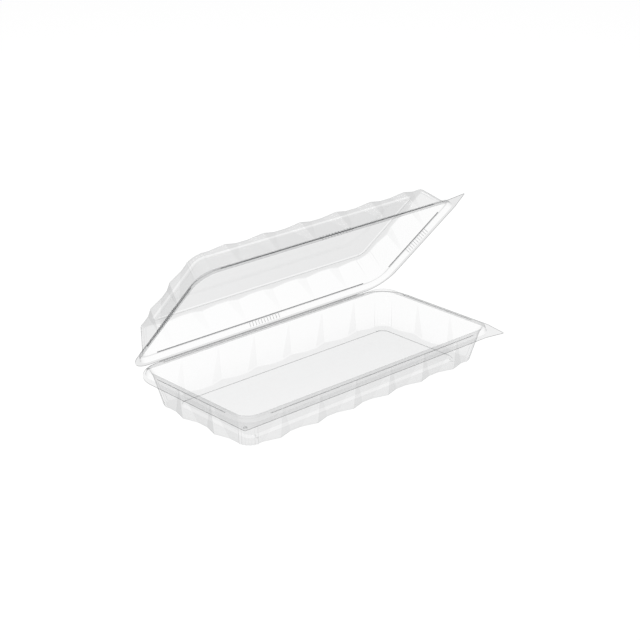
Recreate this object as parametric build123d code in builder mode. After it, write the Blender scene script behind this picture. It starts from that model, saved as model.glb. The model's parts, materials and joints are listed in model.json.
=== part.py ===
"""Hinged clear food clamshell: a fluted tray and a fluted lid, joined along one long edge.

Origin: on the table, under the middle of the open pack's outline.  +Z up, +X along the pack's length,
+Y towards the hinge.  All sizes in millimetres.  The lid is written out at its open angle.
"""
import math
import os

from build123d import *

# ---------------------------------------------------------------- overall sizes
flange_length = 320.0      # outside length of the flat rim (X)
flange_width = 161.0       # outside width of the flat rim (Y)
tray_depth = 30.0          # underside of the tray to the top of its flange
lid_depth = 27.6           # lid flange to the top of the closed lid
sheet = 0.5                # thickness of the formed sheet
open_angle = 48.4          # lid angle away from closed, as made
joint_gap = 0.3            # air left between tray and lid when closed

# ---------------------------------------------------------------- rim of the tray
rim_height = 4.5           # rim above the flange
rim_foot = 6.7             # flange edge to the outside foot of the rim
rim_outer = 8.2            # flange edge to the outside top edge of the rim
rim_inner = 10.9           # flange edge to the inside top edge of the rim
rim_radius = 17.0          # corner radius at the rim's outside foot
lock_proud = 0.3           # how far the locking bars stand out from the rim
lock_margin = 32.0         # bars stop this far short of the flange's corners

# ---------------------------------------------------------------- walls and flutes
wall_top = 12.6            # flange edge to the top of the tray wall
wall_foot = 19.5           # flange edge to the foot of the tray wall
corner_radius = 12.0       # wall corners
flute_pitch = 43.0         # one flute to the next
flutes_long = 6            # flutes on each long wall
flutes_short = 2           # flutes on each short wall
flute_half = 15.0          # half width of a flute at its wide end
flute_depth = 4.5          # how far a flute's crest stands out at its wide end
flute_tip_half = 1.5       # half width left where a flute runs out
flute_tip_depth = 0.3      # depth left where a flute runs out

# ---------------------------------------------------------------- floor and top panels
panel_rise = 2.0           # tray floor panel above the tray's foot ring
panel_margin = 13.5        # foot of the wall to the edge of the floor panel
panel_radius = 7.0
lid_panel_drop = 0.8       # lid panel below the lid's top ring
lid_panel_margin = 9.5

# ---------------------------------------------------------------- flange corners
tray_back_radius = 35.0
lid_back_radius = 26.0
lid_front_radius = 20.0    # lid corner rounded away over the tray's thumb corner
sharp_radius = 1.5         # the corners left as tabs
tab_cut_x = 25.0           # crease of the pull tab, along the front edge
tab_cut_y = 20.5           # crease of the pull tab, along the end
tab_angle = 9.0            # pull tab turned away from the flange
tab_reach = 0.98           # tab's length against the square corner it stands for
tab_overlap = 0.12         # tab carried past its crease into the flange
button_radius = 1.6
button_inset = 4.2         # button's centre from both edges of its corner
button_height = 0.8

# ---------------------------------------------------------------- derived
half_l = flange_length / 2
half_w = flange_width / 2
hinge_y = half_w + joint_gap / 2
flange_z = tray_depth                       # top of the tray flange
hinge_z = flange_z + joint_gap / 2
lid_z = flange_z + joint_gap                # underside of the closed lid's flange
skin = sheet * 1.06                         # sheet measured level through a sloping wall

# the lid's channel follows the tray's rim, one gap and one sheet further out
lid_foot = rim_foot - joint_gap - lock_proud - skin
lid_outer = rim_outer - joint_gap - lock_proud - skin
lid_shelf = rim_height + joint_gap + sheet  # shelf top above the tray flange
lid_wall_top = rim_inner                    # lid wall starts above the rim's inside edge
lid_wall_foot = wall_foot - 0.5
lid_radius = rim_radius + rim_foot - lid_foot


def fluted(inset, radius, half_flute, depth):
    """Close a wall outline on the sketch being built: valleys, V flutes, round corners.

    inset is the distance from the flange's edge to the valleys between the flutes.
    """
    half_x = half_l - inset
    half_y = half_w - inset
    # along the side, outward from it, half extent outward, half extent along, flutes
    sides = [
        (Vector(1, 0), Vector(0, -1), half_y, half_x, flutes_long),
        (Vector(0, 1), Vector(1, 0), half_x, half_y, flutes_short),
        (Vector(-1, 0), Vector(0, 1), half_y, half_x, flutes_long),
        (Vector(0, -1), Vector(-1, 0), half_x, half_y, flutes_short),
    ]
    with BuildLine() as outline:
        ends = []
        for along, out, across, reach, count in sides:
            first = -(count - 1) * flute_pitch / 2
            points = [along * (radius - reach) + out * across]
            for k in range(count):
                middle = first + k * flute_pitch
                points.append(along * (middle - half_flute) + out * across)
                points.append(along * middle + out * (across + depth))
                points.append(along * (middle + half_flute) + out * across)
            points.append(along * (reach - radius) + out * across)
            Polyline(*points)
            ends.append((points[0], points[-1]))
        for k in range(4):
            RadiusArc(ends[k][1], ends[(k + 1) % 4][0], -radius)
    make_face(outline.edges())


def rounded(inset, radius):
    """Close a plain rounded rectangle on the sketch being built."""
    RectangleRounded(flange_length - 2 * inset, flange_width - 2 * inset, radius)


def flange(back_radius, left_radius, right_radius):
    """Close the flange's plan: hinge corners alike, each front corner its own radius."""
    x = half_l
    y = half_w
    with BuildLine() as outline:
        Line((-x + back_radius, y), (x - back_radius, y))
        RadiusArc((x - back_radius, y), (x, y - back_radius), back_radius)
        Line((x, y - back_radius), (x, -y + tab_cut_y))
        Line((x, -y + tab_cut_y), (x - tab_cut_x, -y))
        Line((x - tab_cut_x, -y), (-x + left_radius, -y))
        RadiusArc((-x + left_radius, -y), (-x, -y + left_radius), left_radius)
        Line((-x, -y + left_radius), (-x, y - back_radius))
        RadiusArc((-x, y - back_radius), (-x + back_radius, y), back_radius)
    make_face(outline.edges())


def tab(level, turn):
    """Add the front right pull tab: creased along a diagonal, turned down by an angle."""
    crease_a = Vector(half_l, -half_w + tab_cut_y, level)
    crease_b = Vector(half_l - tab_cut_x, -half_w, level)
    middle = (crease_a + crease_b) * 0.5
    run = (crease_a - crease_b).normalized()
    outward = run.cross(Vector(0, 0, 1))
    tilt = math.radians(turn)
    normal = Vector(0, 0, 1) * math.cos(tilt) + outward * math.sin(tilt)
    flat = Plane(origin=middle, x_dir=run, z_dir=(0, 0, 1))
    slope = Plane(origin=middle, x_dir=run, z_dir=normal)
    corner = flat.to_local_coords(Vector(half_l, -half_w, level))
    reach = (crease_a - crease_b).length / 2
    with BuildSketch(slope) as tab_plan:
        with BuildLine():
            Polyline(
                (-reach, tab_overlap),
                (reach, tab_overlap),
                (reach, 0),
                (corner.X * tab_reach, corner.Y * tab_reach),
                (-reach, 0),
                close=True,
            )
        make_face()
        tip = tab_plan.vertices().sort_by(Axis.Y)[0]
        fillet(tip, sharp_radius)
    extrude(tab_plan.sketch, amount=sheet)


# ---------------------------------------------------------------- the tray
with BuildPart() as base_tray:
    # flange
    with BuildSketch(Plane.XY.offset(flange_z - sheet)):
        flange(tray_back_radius, sharp_radius, sharp_radius)
    extrude(amount=sheet)
    tab(flange_z - sheet, tab_angle)

    # rim: a hollow bead standing on the flange
    with BuildSketch(Plane.XY.offset(flange_z - sheet)):
        rounded(rim_foot - 0.1, rim_radius + 0.1)
    with BuildSketch(Plane.XY.offset(flange_z + rim_height)):
        rounded(rim_outer, rim_radius + rim_foot - rim_outer)
    loft(ruled=True)

    # locking bars on the straight part of each side of the rim
    with BuildSketch(Plane.XY.offset(flange_z + rim_height * 0.3)):
        lock_out = rim_foot + (rim_outer - rim_foot) * 0.6 - lock_proud
        Rectangle(flange_length - 2 * lock_margin, flange_width - 2 * lock_out)
        Rectangle(flange_length - 2 * lock_out, flange_width - 2 * lock_margin)
    extrude(amount=rim_height * 0.3)

    # the bead's underside is open
    with BuildSketch(Plane.XY.offset(flange_z - sheet)):
        rounded(rim_foot + skin, rim_radius - skin)
    with BuildSketch(Plane.XY.offset(flange_z + rim_height - sheet)):
        rounded(rim_outer + skin, rim_radius + rim_foot - rim_outer - skin)
    loft(ruled=True, mode=Mode.SUBTRACT)

    # outside of the fluted wall, then of the plain strip up to the rim
    with BuildSketch(Plane.XY):
        fluted(wall_foot, corner_radius, flute_half, flute_depth)
    with BuildSketch(Plane.XY.offset(flange_z)):
        fluted(wall_top, corner_radius, flute_tip_half, flute_tip_depth)
    loft(ruled=True)
    with BuildSketch(Plane.XY.offset(flange_z)):
        rounded(wall_top, corner_radius)
    with BuildSketch(Plane.XY.offset(flange_z + rim_height)):
        rounded(rim_inner - skin, corner_radius)
    loft(ruled=True)

    # inside of the tray
    with BuildSketch(Plane.XY.offset(sheet)):
        fluted(wall_foot + skin, corner_radius, flute_half, flute_depth)
    with BuildSketch(Plane.XY.offset(flange_z)):
        fluted(wall_top + skin, corner_radius, flute_tip_half, flute_tip_depth)
    loft(ruled=True, mode=Mode.SUBTRACT)
    with BuildSketch(Plane.XY.offset(flange_z)):
        rounded(wall_top + skin, corner_radius)
    with BuildSketch(Plane.XY.offset(flange_z + rim_height)):
        rounded(rim_inner, corner_radius)
    loft(ruled=True, mode=Mode.SUBTRACT)

    # raised floor panel, open underneath
    panel_inset = wall_foot + panel_margin
    with BuildSketch(Plane.XY.offset(sheet / 2)):
        rounded(panel_inset - panel_rise, panel_radius + panel_rise)
    with BuildSketch(Plane.XY.offset(sheet + panel_rise)):
        rounded(panel_inset, panel_radius)
    loft(ruled=True)
    with BuildSketch(Plane.XY):
        rounded(panel_inset - panel_rise + sheet, panel_radius + panel_rise - sheet)
    with BuildSketch(Plane.XY.offset(panel_rise)):
        rounded(panel_inset + sheet, panel_radius - sheet)
    loft(ruled=True, mode=Mode.SUBTRACT)

    # thumb-corner button
    with BuildSketch(Plane.XY.offset(flange_z - sheet / 2)):
        with Locations((-half_l + button_inset, -half_w + button_inset)):
            Circle(button_radius)
    extrude(amount=button_height + sheet / 2)

# ---------------------------------------------------------------- the lid, closed
with BuildPart() as lid_closed:
    # flange
    with BuildSketch(Plane.XY.offset(lid_z)):
        flange(lid_back_radius, lid_front_radius, sharp_radius)
    extrude(amount=sheet)
    tab(lid_z, -tab_angle)

    # channel that drops over the tray's rim
    with BuildSketch(Plane.XY.offset(lid_z)):
        rounded(lid_foot, lid_radius)
    with BuildSketch(Plane.XY.offset(flange_z + lid_shelf)):
        rounded(lid_outer, lid_radius + lid_foot - lid_outer)
    loft(ruled=True)

    # outside of the dome
    with BuildSketch(Plane.XY.offset(flange_z + lid_shelf - sheet)):
        fluted(lid_wall_top, corner_radius, flute_tip_half, flute_tip_depth)
    with BuildSketch(Plane.XY.offset(lid_z + lid_depth)):
        fluted(lid_wall_foot, corner_radius, flute_half, flute_depth)
    loft(ruled=True)

    # inside of the channel, up to the shelf
    with BuildSketch(Plane.XY.offset(lid_z)):
        rounded(lid_foot + skin, lid_radius - skin)
    with BuildSketch(Plane.XY.offset(flange_z + lid_shelf - sheet)):
        rounded(lid_outer + skin, lid_radius + lid_foot - lid_outer - skin)
    loft(ruled=True, mode=Mode.SUBTRACT)

    # inside of the dome
    with BuildSketch(Plane.XY.offset(flange_z + lid_shelf - sheet)):
        fluted(lid_wall_top + skin, corner_radius, flute_tip_half, flute_tip_depth)
    with BuildSketch(Plane.XY.offset(lid_z + lid_depth - sheet)):
        fluted(lid_wall_foot + skin, corner_radius, flute_half, flute_depth)
    loft(ruled=True, mode=Mode.SUBTRACT)

    # sunk top panel
    lid_panel_inset = lid_wall_foot + lid_panel_margin
    top_z = lid_z + lid_depth
    with BuildSketch(Plane.XY.offset(top_z - lid_panel_drop - sheet)):
        rounded(lid_panel_inset, panel_radius)
    extrude(amount=lid_panel_drop + sheet)
    with BuildSketch(Plane.XY.offset(top_z - lid_panel_drop)):
        rounded(lid_panel_inset + sheet, panel_radius - sheet)
    extrude(amount=lid_panel_drop, mode=Mode.SUBTRACT)

# ---------------------------------------------------------------- the lid, opened
with BuildPart() as lid_open:
    hinge_axis = Axis((0, hinge_y, hinge_z), (1, 0, 0))
    add(lid_closed.part.rotate(hinge_axis, -open_angle))

# ---------------------------------------------------------------- both moved to the origin
# the open pack's footprint is centred: the lid hangs out behind the hinge
front_y = base_tray.part.bounding_box().min.Y
back_y = lid_open.part.bounding_box().max.Y
centre = Location((0, -(front_y + back_y) / 2, 0))
with BuildPart() as tray:
    add(base_tray.part.moved(centre))
with BuildPart() as lid:
    add(lid_open.part.moved(centre))

# ---------------------------------------------------------------- written out
os.makedirs("parts", exist_ok=True)
tray.part.label = "base_tray"
export_step(tray.part, "parts/base_tray.step")
lid.part.label = "lid"
export_step(lid.part, "parts/lid.step")
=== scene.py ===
"""A clear hinged clamshell pack: fluted tray, fluted lid and the living hinge between them.

Sizes are in millimetres until a mesh is made, when they become metres.  The two halves are
single formed sheets, so each is one surface: a profile of rings carried round the pack.
"""
import sys

import json
import logging
import math
from dataclasses import dataclass, field
from enum import Enum
from typing import Any

import bpy
import numpy as np
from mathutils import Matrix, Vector


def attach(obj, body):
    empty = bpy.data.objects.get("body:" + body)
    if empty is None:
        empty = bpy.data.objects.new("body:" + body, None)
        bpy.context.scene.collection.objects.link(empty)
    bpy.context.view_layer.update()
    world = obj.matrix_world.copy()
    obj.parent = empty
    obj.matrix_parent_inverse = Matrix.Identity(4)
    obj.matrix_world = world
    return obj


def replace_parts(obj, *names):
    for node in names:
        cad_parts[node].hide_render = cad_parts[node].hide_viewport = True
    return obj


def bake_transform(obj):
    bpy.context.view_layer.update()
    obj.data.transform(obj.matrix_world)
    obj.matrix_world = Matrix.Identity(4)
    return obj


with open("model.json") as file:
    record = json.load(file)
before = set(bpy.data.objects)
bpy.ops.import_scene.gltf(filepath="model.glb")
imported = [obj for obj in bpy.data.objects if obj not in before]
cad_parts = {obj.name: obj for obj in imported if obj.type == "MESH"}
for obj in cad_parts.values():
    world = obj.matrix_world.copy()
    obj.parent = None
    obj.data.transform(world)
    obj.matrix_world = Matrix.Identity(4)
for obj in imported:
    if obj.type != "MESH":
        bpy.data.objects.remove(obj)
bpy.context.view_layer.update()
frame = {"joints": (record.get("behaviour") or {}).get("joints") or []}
MM = 0.001
SHEET_TURN = 11.0
SHARP_TURN = 60.0
BAR_SIDES = 8
log = logging.getLogger("clamshell")


class Body(Enum):
    """The two rigid bodies of the pack."""

    TRAY = "tray"
    LID = "lid"


@dataclass(frozen=True)
class Hinge:
    """The crease line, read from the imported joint.

    Fields are its Y and Z in millimetres and the lid's angle from closed, in degrees.
    """

    y: float
    z: float
    open_angle: float

    @staticmethod
    def from_frame() -> "Hinge":
        """Read the hinge from the frame's joint."""
        joint = frame["joints"][0]
        place = joint["pos_m"]
        return Hinge(place[1] / MM, place[2] / MM, -joint["range_deg"][0])

    def turn(self, points: np.ndarray) -> np.ndarray:
        """Turn closed lid points to the open angle about the crease.

        Args:
            points: rows of X, Y, Z with the lid closed.

        Returns:
            The same points with Y and Z turned by minus the open angle.
        """
        angle = -math.radians(self.open_angle)
        y, z = points[:, 1] - self.y, points[:, 2] - self.z
        out = points.copy()
        out[:, 1] = self.y + math.cos(angle) * y - math.sin(angle) * z
        out[:, 2] = self.z + math.sin(angle) * y + math.cos(angle) * z
        return out


HINGE = Hinge.from_frame()


@dataclass(frozen=True)
class Plan:
    """Overall plan shared by both halves."""

    half_x: float = 160.0
    half_y: float = 80.5
    crease_gap: float = 0.15
    flute_pitch: float = 43.0
    flutes_long: int = 6
    flutes_short: int = 2
    steps: int = 12
    corner_steps: int = 40
    pleats: int = 6
    tab_cut_x: float = 25.0
    tab_cut_y: float = 20.5

    @property
    def centre_y(self) -> float:
        """Y of the tray's middle in the row frame."""
        return HINGE.y - self.crease_gap - self.half_y


PLAN = Plan()


@dataclass(frozen=True)
class Ring:
    """One closed line round the pack, at a distance in from the flange's edge.

    radius may be one number or four, for front right, back right, back left, front left.
    """

    inset: float
    z: float
    radius: float | tuple[float, float, float, float] = 12.0
    flute_half: float = 1.5
    flute_depth: float = 0.0
    pleat: float = 0.0

    def points(self) -> np.ndarray:
        """Trace the ring.

        Each side runs between its corners through anchors at the flutes, with the outward
        step linear between them; each corner is an arc whose radius ripples as a rectified
        sine for the pleats.

        Returns:
            Rows of X, Y, Z about the tray's middle.
        """
        a, b = PLAN.half_x - self.inset, PLAN.half_y - self.inset
        radii = self.radius if isinstance(self.radius, tuple) else (self.radius,) * 4
        sides = (
            ((1, 0), (0, -1), b, a, PLAN.flutes_long, radii[3], radii[0], -90),
            ((0, 1), (1, 0), a, b, PLAN.flutes_short, radii[0], radii[1], 0),
            ((-1, 0), (0, 1), b, a, PLAN.flutes_long, radii[1], radii[2], 90),
            ((0, -1), (-1, 0), a, b, PLAN.flutes_short, radii[2], radii[3], 180),
        )
        rows = []
        for along, out, across, reach, count, r0, r1, turn in sides:
            middles = (np.arange(count) - (count - 1) / 2) * PLAN.flute_pitch
            half = self.flute_half
            anchors = (middles[:, None] + np.array([-half, 0.0, half])).ravel()
            anchors = np.concatenate([[r0 - reach], anchors, [reach - r1]])
            steps = np.concatenate([[0.0], np.tile([0.0, self.flute_depth, 0.0], count), [0.0]])
            t = np.linspace(0, len(anchors) - 1, (len(anchors) - 1) * PLAN.steps + 1)
            index = np.arange(len(anchors))
            s, d = np.interp(t, index, anchors), np.interp(t, index, steps)
            rows.append(np.outer(s, along) + np.outer(across + d, out))
            u = np.linspace(0, 1, PLAN.corner_steps + 1)[1:-1]
            angle = np.radians(turn + 90 * u)
            ripple = r1 + self.pleat * np.abs(np.sin(math.pi * PLAN.pleats * u))
            mid = np.array(along) * (reach - r1) + np.array(out) * (across - r1)
            rows.append(mid + ripple[:, None] * np.stack([np.cos(angle), np.sin(angle)], 1))
        flat = np.concatenate(rows)
        return np.column_stack([flat, np.full(len(flat), self.z)])


def between(first: Ring, last: Ring, count: int) -> list[Ring]:
    """Rings spaced evenly from first to last, both included.

    Args:
        first: ring at the start.
        last: ring at the end.
        count: number of steps between them.

    Returns:
        count + 1 rings whose sizes are mixed in proportion.
    """
    def mix(p: Any, q: Any, t: float) -> Any:
        """Mix two numbers, or two sets of corner radii."""
        if isinstance(p, tuple) or isinstance(q, tuple):
            p = p if isinstance(p, tuple) else (p,) * 4
            q = q if isinstance(q, tuple) else (q,) * 4
            return tuple(m + (n - m) * t for m, n in zip(p, q))
        return p + (q - p) * t

    names = ("inset", "z", "radius", "flute_half", "flute_depth", "pleat")
    return [
        Ring(*(mix(getattr(first, n), getattr(last, n), k / count) for n in names))
        for k in range(count + 1)
    ]


def make_mesh(
    name: str, points: np.ndarray, faces: list, crease: float = SHEET_TURN
) -> bpy.types.Object:
    """Make an object at the origin from points in millimetres.

    Args:
        name: the piece's name.
        points: rows of X, Y, Z in the row frame.
        faces: tuples of point numbers.
        crease: edges that turn by more than this many degrees are shaded sharp.

    Returns:
        The new object, linked to the scene.
    """
    mesh = bpy.data.meshes.new(name)
    mesh.from_pydata((points * MM).tolist(), [], faces)
    mesh.validate()
    mesh.shade_smooth()
    mesh.set_sharp_from_angle(angle=math.radians(crease))
    obj = bpy.data.objects.new(name, mesh)
    bpy.context.scene.collection.objects.link(obj)
    return obj


def grid_faces(rows: int, columns: int, closed: bool) -> list:
    """Quads of a grid of points.

    Args:
        rows: number of rows.
        columns: number of points in a row.
        closed: whether the last column joins the first.

    Returns:
        Lists of four point numbers.
    """
    r = np.arange(rows - 1)[:, None]
    c = np.arange(columns if closed else columns - 1)[None, :]
    n = (c + 1) % columns
    quads = np.stack(np.broadcast_arrays(
        r * columns + c, r * columns + n, (r + 1) * columns + n, (r + 1) * columns + c
    ), -1).reshape(-1, 4)
    return quads.tolist()


def bars(name: str, starts: np.ndarray, ends: np.ndarray, radius: float) -> bpy.types.Object:
    """Straight round bars from starts to ends, all in one mesh.

    Each bar is a ring of points carried from its start to its end, with both ends closed
    by one face.

    Args:
        name: the piece's name.
        starts: rows of X, Y, Z in millimetres.
        ends: the same for the other ends.
        radius: the bars' radius.

    Returns:
        The new object.
    """
    sides = BAR_SIDES
    run = ends - starts
    run /= np.linalg.norm(run, axis=1)[:, None]
    helper = np.where(np.abs(run[:, 2:3]) > 0.9, [[1.0, 0, 0]], [[0, 0, 1.0]])
    u = np.cross(run, helper)
    u /= np.linalg.norm(u, axis=1)[:, None]
    v = np.cross(run, u)
    angle = np.arange(sides) * 2 * math.pi / sides
    cos, sin = np.cos(angle)[None, :, None], np.sin(angle)[None, :, None]
    circle = radius * (cos * u[:, None] + sin * v[:, None])
    points = np.stack([starts[:, None] + circle, ends[:, None] + circle], 1).reshape(-1, 3)
    faces = []
    for k in range(len(starts)):
        base = k * 2 * sides
        faces += [[base + i for i in quad] for quad in grid_faces(2, sides, True)]
        faces.append([base + i for i in range(sides)][::-1])
        faces.append([base + sides + i for i in range(sides)])
    return make_mesh(name, points, faces, SHARP_TURN)


def dome(
    name: str, centre: tuple[float, float, float], radius: float, height: float
) -> bpy.types.Object:
    """A round button: height falls as the square root of one less the squared radius.

    Args:
        name: the piece's name.
        centre: X, Y, Z of the middle of its foot, in millimetres.
        radius: radius at the foot.
        height: height at the middle.

    Returns:
        The new object.
    """
    rings, sides, hub = 8, 32, 0.02
    r = np.linspace(1, hub, rings)[:, None]
    angle = (np.arange(sides) * 2 * math.pi / sides)[None, :]
    x = centre[0] + radius * r * np.cos(angle)
    y = centre[1] + radius * r * np.sin(angle)
    z = centre[2] + height * np.sqrt(1 - r * r) + 0 * angle
    points = np.stack([x, y, z], -1).reshape(-1, 3)
    faces = grid_faces(rings, sides, True)
    faces.append([(rings - 1) * sides + i for i in range(sides)])
    return make_mesh(name, points, faces, SHARP_TURN)


class Socket:
    """A shader socket with arithmetic: each operator adds one Math node."""

    def __init__(self, nodes: "Nodes", out: Any) -> None:
        """Wrap an output socket of a material."""
        self.nodes, self.out = nodes, out

    def _math(self, operation: str, p: Any, q: Any) -> "Socket":
        """Add a Math node on two values."""
        return self.nodes.add("ShaderNodeMath", {"operation": operation}, {0: p, 1: q})[0]

    def __add__(self, other: Any) -> "Socket":
        """Sum."""
        return self._math("ADD", self, other)

    def __mul__(self, other: Any) -> "Socket":
        """Product."""
        return self._math("MULTIPLY", self, other)

    def __pow__(self, other: Any) -> "Socket":
        """Power."""
        return self._math("POWER", self, other)

    def most(self, other: Any) -> "Socket":
        """The larger of two values."""
        return self._math("MAXIMUM", self, other)

    __radd__ = __add__
    __rmul__ = __mul__


class Nodes:
    """Builds one node tree."""

    def __init__(self, tree: bpy.types.NodeTree) -> None:
        """Start from an empty tree."""
        tree.nodes.clear()
        self.tree = tree

    def add(self, kind: str, settings: dict, inputs: dict) -> list[Socket]:
        """Add a node.

        Args:
            kind: the node's type name.
            settings: attributes, set before the inputs.
            inputs: values or sockets by input name or number.

        Returns:
            The node's outputs.
        """
        node = self.tree.nodes.new(kind)
        for name, value in settings.items():
            setattr(node, name, value)
        for key, value in inputs.items():
            if isinstance(value, Socket):
                self.tree.links.new(value.out, node.inputs[key])
            else:
                node.inputs[key].default_value = value
        return [Socket(self, out) for out in node.outputs]


@dataclass(frozen=True)
class ClearSheet:
    """Clear formed sheet: nearly all passes face on, little at a glancing angle."""

    name: str = "clear_sheet"
    tint: tuple[float, float, float] = (0.10, 0.105, 0.11)
    face_on: float = 0.075
    glancing: float = 0.95
    sharpness: float = 4.0
    roughness: float = 0.06
    gloss: float = 0.3

    def material(self) -> bpy.types.Material:
        """Make the material, or return the one already made."""
        made = bpy.data.materials.get(self.name)
        if made:
            return made
        made = bpy.data.materials.new(self.name)
        made.use_nodes = True
        nodes = Nodes(made.node_tree)
        facing = nodes.add("ShaderNodeLayerWeight", {}, {"Blend": 0.5})[1]
        alpha = self.face_on + (self.glancing - self.face_on) * facing ** self.sharpness
        shader = nodes.add("ShaderNodeBsdfPrincipled", {}, {
            "Base Color": (*self.tint, 1.0), "Roughness": self.roughness,
            "Specular IOR Level": self.gloss, "IOR": 1.57, "Alpha": alpha,
        })[0]
        nodes.add("ShaderNodeOutputMaterial", {}, {"Surface": shader})
        return made


SHEET = ClearSheet()
# Ridge copy: the same clear sheet but more opaque with its dark tint, so lock bars, buttons and ribs
# come out darker; that darkening is painted shade.
RIDGE_SHADE = ClearSheet("ridge_painted_shade", face_on=0.22, glancing=0.98, sharpness=2.0)
# Crease copy: about half opaque with the dark tint, so the living hinge and the lid's lock grooves show
# as dark lines; that darkness is painted shade.
CREASE_SHADE = ClearSheet("crease_painted_shade", face_on=0.45, glancing=0.98, sharpness=2.0)
# Edge copy: near-black tint, over half opaque, so the sheet's cut edge reads as a dark line; that
# darkness is painted shade.
EDGE_SHADE = ClearSheet("edge_painted_shade", tint=(0.03, 0.03, 0.035), face_on=0.55, sharpness=1.5, gloss=0.1)


def dress(obj: bpy.types.Object, sheet_and_shade: ClearSheet, body: Body) -> bpy.types.Object:
    """Give a piece its material and body, and log it.

    Args:
        obj: the piece.
        sheet_and_shade: its material.
        body: the body it moves with.

    Returns:
        The same piece.
    """
    # The ridge, crease and edge copies passed in here are darkened as painted shade.
    obj.data.materials.append(sheet_and_shade.material())
    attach(obj, body.value)
    log.info("%s: %d faces", obj.name, len(obj.data.polygons))
    return obj


@dataclass(frozen=True)
class SideBars:
    """Round bars on the straight of each side: reach along it, place on it and radius."""

    name: str
    half_x: float
    half_y: float
    inset: float
    lift: float
    radius: float


@dataclass
class Shell:
    """Shared work of the two halves: rings in, one sheet out."""

    name: str
    body: Body
    slot: str
    flange_z: float
    tab_slope: float
    rings: list[Ring] = field(default_factory=list)

    def place(self, points: np.ndarray) -> np.ndarray:
        """Move points from about the tray's middle to the row frame."""
        out = points + np.array([0.0, PLAN.centre_y, 0.0])
        return HINGE.turn(out) if self.body is Body.LID else out

    def bend_tab(self, points: np.ndarray) -> np.ndarray:
        """Lower or raise the pull tab in proportion to the distance past its crease."""
        a = np.array([PLAN.half_x, PLAN.tab_cut_y - PLAN.half_y])
        b = np.array([PLAN.half_x - PLAN.tab_cut_x, -PLAN.half_y])
        run = (a - b) / np.linalg.norm(a - b)
        past = np.maximum((points[:, :2] - b) @ np.array([run[1], -run[0]]), 0)
        out = points.copy()
        out[:, 2] += self.tab_slope * past
        return out

    def build(self) -> bpy.types.Object:
        """Join the rings into one sheet with a flat panel in the last one."""
        grid = np.stack([ring.points() for ring in self.rings])
        rows, columns = grid.shape[:2]
        points = self.place(self.bend_tab(grid.reshape(-1, 3)))
        faces = grid_faces(rows, columns, True)
        faces.append([(rows - 1) * columns + i for i in range(columns)])
        return make_mesh(self.name, points, faces)

    def cut_edge(self) -> bpy.types.Object:
        """The sheet's cut edge: the outline carried a quarter millimetre up and down."""
        ring, half = self.rings[0].points(), np.array([0.0, 0.0, 0.25])
        points = self.place(self.bend_tab(np.concatenate([ring - half, ring + half])))
        faces = grid_faces(2, len(ring), True)
        return make_mesh(self.slot + "_cut_edge", points, faces, SHARP_TURN)

    def side_bars(self, kind: SideBars) -> bpy.types.Object:
        """Lay a bar along each of the four sides.

        Args:
            kind: the bars' name and sizes.

        Returns:
            One object with four bars.
        """
        x, y = PLAN.half_x - kind.inset, PLAN.half_y - kind.inset
        z, a, b = self.flange_z + kind.lift, kind.half_x, kind.half_y
        starts = np.array([[-a, -y, z], [-a, y, z], [x, -b, z], [-x, -b, z]])
        ends = np.array([[a, -y, z], [a, y, z], [x, b, z], [-x, b, z]])
        return bars(kind.name, self.place(starts), self.place(ends), kind.radius)


@dataclass
class Tray(Shell):
    """The tray: flange, rim bead, fluted wall, foot ring and raised floor panel."""

    name: str = "tray_sheet"
    body: Body = Body.TRAY
    slot: str = "clear_tray"
    flange_z: float = 29.75
    tab_slope: float = -0.16
    back_radius: float = 35.0
    lock_bars: SideBars = SideBars("tray_lock_bars", 125.0, 46.0, 7.6, 2.6, 0.35)
    thumb_inset: float = 4.2
    rim_button_inset: float = 13.5

    def __post_init__(self) -> None:
        """Lay out the profile from the flange's edge to the floor panel."""
        z = self.flange_z
        edge = Ring(0.0, z, (1.5, self.back_radius, self.back_radius, 1.5))
        top = Ring(12.6, z, 12.0, 1.5, 0.3, 0.0)
        foot = Ring(19.5, 1.6, 12.0, 15.0, 4.5, 0.9)
        self.rings = between(edge, Ring(6.5, z, 17.2), 6)
        self.rings += [Ring(6.9, z + 0.4, 16.8), Ring(7.5, z + 2.2, 16.2)]
        self.rings += [Ring(7.9, z + 3.8, 15.8), Ring(8.2, z + 4.3, 15.5)]
        self.rings += [Ring(8.7, z + 4.5, 15.0), Ring(10.3, z + 4.5, 13.4)]
        self.rings += [Ring(10.9, z + 4.1, 12.8), Ring(12.3, z + 0.5, 12.0)]
        self.rings += between(top, foot, 12)
        self.rings += [Ring(19.8, 0.8, 12.0, 15.0, 4.4, 0.9), Ring(20.5, 0.35, 11.5, 15.0, 4.2, 0.7)]
        stand = Ring(21.4, 0.25, 11.0, 15.0, 4.0, 0.4)
        self.rings += between(stand, Ring(30.6, 0.25, 9.4, 15.0, 0.0), 3)
        self.rings += [Ring(31.2, 0.4, 8.8, 15.0), Ring(32.8, 2.1, 7.2, 15.0)]
        self.rings += [Ring(33.4, 2.25, 6.6, 15.0)]

    def dress_all(self) -> None:
        """Build and dress the tray's pieces."""
        sheet = dress(self.build(), SHEET, self.body)
        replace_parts(sheet, "base_tray")
        # The cut edge takes the near-black edge copy: painted shade along the edge.
        dress(self.cut_edge(), EDGE_SHADE, self.body)
        # The lock bars take the ridge copy: real ridges, darkened with painted shade.
        dress(self.side_bars(self.lock_bars), RIDGE_SHADE, self.body)
        self.buttons()

    def buttons(self) -> None:
        """Add the button on the thumb corner and the one on the rim's back left corner."""
        inset = self.thumb_inset
        corner = (inset - PLAN.half_x, inset - PLAN.half_y + PLAN.centre_y, self.flange_z + 0.1)
        # Both buttons take the ridge copy: real domes, darkened with painted shade.
        dress(dome("thumb_button", corner, 1.9, 0.9), RIDGE_SHADE, self.body)
        inset = self.rim_button_inset
        back = (inset - PLAN.half_x, PLAN.half_y - inset + PLAN.centre_y, self.flange_z + 4.3)
        dress(dome("rim_button", back, 1.8, 0.6), RIDGE_SHADE, self.body)


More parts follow.
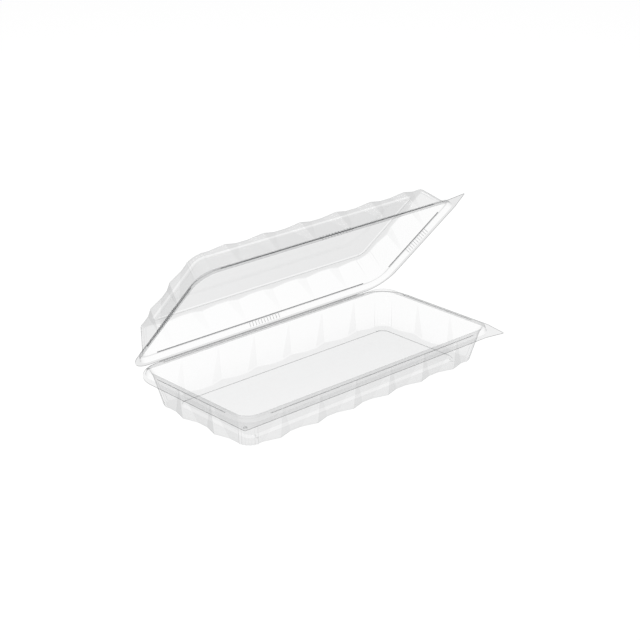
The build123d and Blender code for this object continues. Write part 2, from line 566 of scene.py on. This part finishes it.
@dataclass
class Lid(Shell):
    """The lid: flange, channel and shelf over the rim, fluted dome and sunk top panel."""

    name: str = "lid_sheet"
    body: Body = Body.LID
    slot: str = "clear_lid"
    flange_z: float = 30.55
    tab_slope: float = 0.1
    back_radius: float = 26.0
    front_left_radius: float = 20.0
    depth: float = 27.3
    lock_grooves: SideBars = SideBars("lid_lock_grooves", 128.0, 48.0, 10.6, 4.7, 0.55)
    rib_count: int = 11
    rib_pitch: float = 3.6
    rib_radius: float = 0.3

    def __post_init__(self) -> None:
        """Lay out the profile from the flange's edge to the top panel."""
        z = self.flange_z
        top = z + self.depth
        edge = Ring(0.0, z, (1.5, self.back_radius, self.back_radius, self.front_left_radius))
        self.rings = between(edge, Ring(5.5, z, 18.2), 5)
        self.rings += [Ring(5.8, z + 0.3, 17.9), Ring(6.9, z + 4.0, 16.8), Ring(7.4, z + 4.6, 16.3)]
        self.rings += [Ring(10.3, z + 4.6, 13.4), Ring(10.8, z + 4.9, 12.6, 1.5, 0.0)]
        foot = Ring(11.0, z + 5.3, 12.0, 2.5, 0.3)
        self.rings += between(foot, Ring(18.8, top - 1.4, 12.0, 15.0, 4.5, 0.9), 12)
        self.rings += [Ring(19.2, top - 0.6, 11.8, 15.0, 4.4, 0.9)]
        self.rings += [Ring(19.9, top - 0.15, 11.4, 15.0, 4.2, 0.6)]
        self.rings += between(Ring(20.8, top, 11.0, 15.0, 3.8, 0.3), Ring(28.0, top, 9.5, 15.0, 0.0), 3)
        self.rings += [Ring(28.4, top - 0.15, 9.1, 15.0), Ring(29.6, top - 0.9, 7.9, 15.0)]
        self.rings += [Ring(30.2, top - 1.0, 7.3, 15.0), Ring(33.0, top - 1.0, 4.6, 15.0)]
        self.rings += [Ring(34.0, top - 0.6, 4.0, 15.0), Ring(35.0, top - 0.6, 3.5, 15.0)]

    def rib_ends(self, inset: float, lift: float) -> np.ndarray:
        """One end of every rib, at the middle of each side.

        Args:
            inset: distance in from the flange's edge.
            lift: height over the flange.

        Returns:
            Rows of X, Y, Z in the row frame.
        """
        count = self.rib_count
        s = (np.arange(count) - (count - 1) / 2) * self.rib_pitch
        x, y = PLAN.half_x - inset, PLAN.half_y - inset
        z = np.full(count, self.flange_z + lift)
        rows = []
        for sign in (-1, 1):
            rows.append(np.column_stack([s, np.full(count, sign * y), z]))
            rows.append(np.column_stack([np.full(count, sign * x), s, z]))
        return self.place(np.concatenate(rows))

    def ribs(self) -> bpy.types.Object:
        """Short grip ribs up the channel's outer side, at the middle of each side."""
        return bars("lid_ribs", self.rib_ends(5.7, 0.6), self.rib_ends(7.3, 4.9), self.rib_radius)

    def dress_all(self) -> None:
        """Build and dress the lid's pieces."""
        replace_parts(dress(self.build(), SHEET, self.body), "lid")
        # The cut edge takes the near-black edge copy: painted shade along the edge.
        dress(self.cut_edge(), EDGE_SHADE, self.body)
        # The ribs take the ridge copy: real ribs, darkened with painted shade.
        dress(self.ribs(), RIDGE_SHADE, self.body)
        # The lock grooves are drawn as thin bars in the crease copy: dark lines of painted shade in the
        # grooves.
        dress(self.side_bars(self.lock_grooves), CREASE_SHADE, self.body)


@dataclass
class LivingHinge:
    """The creased strip that joins the two flanges."""

    half_length: float = 124.0
    steps: int = 10

    def dress_all(self) -> None:
        """Curve the strip from flange to flange, as a parabola, out to the open lid's edge."""
        start = np.array([HINGE.y - PLAN.crease_gap, Tray.flange_z])
        closed = np.array([[0.0, HINGE.y - PLAN.crease_gap, Lid.flange_z]])
        lid_edge = HINGE.turn(closed)[0, 1:]
        t = np.linspace(0, 1, self.steps + 1)[:, None]
        bulge = np.array([[HINGE.y + 0.5, 29.9]])
        line = (1 - t) ** 2 * start + 2 * t * (1 - t) * bulge + t * t * lid_edge
        x = np.linspace(-self.half_length, self.half_length, 25)
        grid = np.broadcast_arrays(x[None, :], line[:, :1], line[:, 1:])
        points = np.stack(grid, -1).reshape(-1, 3)
        faces = grid_faces(self.steps + 1, len(x), False)
        strip = make_mesh("living_hinge", points, faces, SHARP_TURN)
        # The strip takes the crease copy: the real hinge, darkened with painted shade along the fold.
        strip.data.materials.append(CREASE_SHADE.material())
        lid_edge[0] * MM
        lid_edge[1] * MM
        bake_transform(strip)
        log.info("living_hinge: %d faces", len(strip.data.polygons))


@dataclass
class Studio:
    """White ground, soft light and the camera."""

    azimuth: float = -42.79
    elevation: float = 21.86
    distance: float = 1494.5
    right: float = -1.24
    up: float = 28.2
    lens: float = 92.1

    def camera(self) -> None:
        """Aim the camera at the tray's flange from the front left, slightly above."""
        az, el = math.radians(self.azimuth), math.radians(self.elevation)
        back = Vector((math.sin(az) * math.cos(el), -math.cos(az) * math.cos(el), math.sin(el)))
        side = Vector((math.cos(az), math.sin(az), 0.0))
        over = back.cross(side)
        data = bpy.data.cameras.new("camera")
        data.lens, data.clip_end = self.lens, 50.0
        cam = bpy.data.objects.new("camera", data)
        target = Vector((0.0, PLAN.centre_y, 30.0))
        cam.location = (target + back * self.distance + side * self.right + over * self.up) * MM
        cam.rotation_mode = "QUATERNION"
        cam.rotation_quaternion = (-back).to_track_quat("-Z", "Y")
        bpy.context.scene.collection.objects.link(cam)
        bpy.context.scene.camera = cam

    def world(self) -> None:
        """White where the world is seen or reflected, a plain level where it lights."""
        world = bpy.data.worlds.new("studio")
        world.use_nodes = True
        bpy.context.scene.world = world
        nodes = Nodes(world.node_tree)
        path = nodes.add("ShaderNodeLightPath", {}, {})
        seen = path[0].most(path[3]).most(path[6])
        back = nodes.add("ShaderNodeBackground", {}, {
            "Color": (1.0, 1.0, 1.0, 1.0), "Strength": 0.6 + 0.4 * seen,
        })[0]
        nodes.add("ShaderNodeOutputWorld", {}, {"Surface": back})

    def floor(self) -> None:
        """A wide floor, mostly self-lit so that it stays white."""
        size, low = 6000.0, -0.2
        corners = [[-size, -size, low], [size, -size, low], [size, size, low], [-size, size, low]]
        points = np.array(corners)
        ground = make_mesh("floor", points, [[0, 1, 2, 3]])
        material = bpy.data.materials.new("floor_white")
        material.use_nodes = True
        nodes = Nodes(material.node_tree)
        shader = nodes.add("ShaderNodeBsdfPrincipled", {}, {
            "Base Color": (0.12, 0.12, 0.12, 1.0), "Roughness": 1.0, "Specular IOR Level": 0.0,
            "Emission Color": (1.0, 1.0, 1.0, 1.0), "Emission Strength": 0.9,
        })[0]
        nodes.add("ShaderNodeOutputMaterial", {}, {"Surface": shader})
        ground.data.materials.append(material)

    def lights(self) -> None:
        """Two broad soft lamps, overhead and from the left."""
        for name, place, power, size in (
            ("lamp_over", (200, 300, 1500), 16.0, 1.2),
            ("lamp_left", (-1200, -300, 700), 7.0, 0.8),
        ):
            data = bpy.data.lights.new(name, "AREA")
            data.energy, data.size = power, size
            lamp = bpy.data.objects.new(name, data)
            lamp.location = Vector(place) * MM
            lamp.rotation_mode = "QUATERNION"
            lamp.rotation_quaternion = (-Vector(place)).to_track_quat("-Z", "Y")
            bpy.context.scene.collection.objects.link(lamp)

    def build(self) -> None:
        """Set up the whole studio."""
        bpy.context.scene.view_settings.view_transform = "Standard"
        self.camera()
        self.world()
        self.floor()
        self.lights()


def main() -> None:
    """Build the pack and the studio."""
    logging.basicConfig(level=logging.INFO, stream=sys.stdout)
    Tray().dress_all()
    Lid().dress_all()
    LivingHinge().dress_all()
    Studio().build()


if __name__ == "__main__":
    main()
